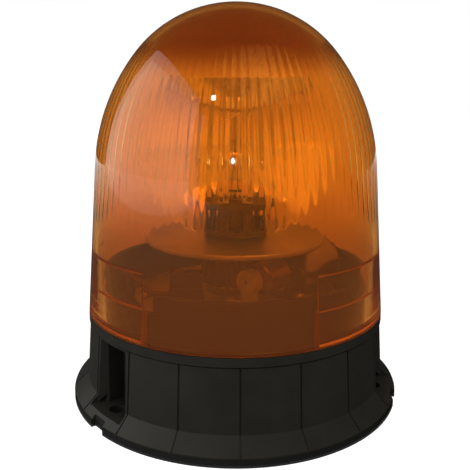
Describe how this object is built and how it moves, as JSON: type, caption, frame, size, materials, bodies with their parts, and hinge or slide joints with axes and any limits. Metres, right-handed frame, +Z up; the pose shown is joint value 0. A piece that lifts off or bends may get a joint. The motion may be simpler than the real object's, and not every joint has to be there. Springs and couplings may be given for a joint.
{
  "type": "rotating beacon",
  "caption": "Rotating warning beacon: amber twist-off dome over a motor-driven reflector turning round a fixed lamp, on a panelled base for bolts.",
  "frame": {"origin": "centre of the underside of the mounting gasket, on the beacon's axis", "axes": "+Z up along the beacon's axis; the three bolt recesses lie towards +Y and at 60 degrees either side of -Y"},
  "size_m": [0.1494, 0.1493, 0.1761],
  "materials": {
    "black_housing": "fine spark-eroded moulding grain",
    "black_rubber": "moulded",
    "amber_lens": "clear amber moulding, polished outside, fluted inside",
    "zinc_steel": "zinc plated sheet",
    "screw_steel": "zinc plated",
    "turned_steel": "turned",
    "spring_steel": "spring wire",
    "motor_steel": "drawn and nickel plated",
    "white_nylon": "natural moulding",
    "brown_nylon": "moulded",
    "bronze": "sintered",
    "brass": "turned",
    "mirror_bowl": "vacuum metallised",
    "grey_plastic": "moulded",
    "holder_plastic": "moulded",
    "lamp_metal": "plated",
    "lamp_glass": "clear",
    "tungsten": "drawn wire",
    "brown_ceramic": "dipped",
    "red_lead": "extruded sleeve",
    "black_lead": "extruded sleeve"
  },
  "bodies": {
    "base": {"base_housing": "black_housing", "mounting_gasket": "black_rubber", "dome_seal": "black_rubber", "cable_grommet": "black_rubber", "chassis_posts": "black_housing", "chassis_plate": "zinc_steel", "chassis_screws": "screw_steel", "stem": "turned_steel", "stem_screws": "screw_steel", "thrust_washer": "white_nylon", "circlip": "spring_steel", "bearing_block": "white_nylon", "bearing_block_screws": "screw_steel", "motor_bracket": "zinc_steel", "bracket_screws": "screw_steel", "motor_screws": "screw_steel", "motor_can": "motor_steel", "motor_end_cap": "black_housing", "motor_tags": "brass", "suppressor_capacitor": "brown_ceramic", "lamp_holder": "holder_plastic", "lamp_base": "lamp_metal", "lamp_glass": "lamp_glass", "lamp_filament": "tungsten", "lamp_contact": "brass", "terminal_block": "holder_plastic", "terminal_screws": "brass", "lamp_lead_live": "red_lead", "lamp_lead_return": "black_lead", "motor_lead_live": "red_lead", "motor_lead_return": "black_lead"},
    "dome": {"dome_lens": "amber_lens"},
    "turntable": {"worm_wheel": "brown_nylon", "wheel_bush": "bronze", "turntable": "zinc_steel", "turntable_screws": "screw_steel", "reflector": "mirror_bowl", "reflector_stand": "grey_plastic", "reflector_screws": "screw_steel"},
    "worm": {"worm": "brass", "motor_shaft": "turned_steel"},
    "lamp_clip": {"lamp_clip": "spring_steel"}
  },
  "joints": [
    {"name": "reflector_spin", "type": "hinge", "parent": "base", "child": "turntable", "pos_m": [0, 0, 0.0583], "axis": [0, 0, 1], "continuous": true},
    {"name": "worm_spin", "type": "hinge", "parent": "base", "child": "worm", "pos_m": [0.01211, -0.01716, 0.055], "axis": [0.8171, 0.5764, 0], "continuous": true},
    {"name": "dome_twist", "type": "hinge", "parent": "base", "child": "dome", "pos_m": [0, 0, 0.045], "axis": [0, 0, 1], "range_deg": [0, 26]},
    {"name": "clip_swing", "type": "hinge", "parent": "base", "child": "lamp_clip", "pos_m": [-0.00286, -0.0137, 0.08786], "axis": [0.9789, -0.2045, 0], "range_deg": [0, 95]}
  ],
  "couplings": [
    {"joint": "worm_spin", "follows": "reflector_spin", "ratio": -30}
  ]
}
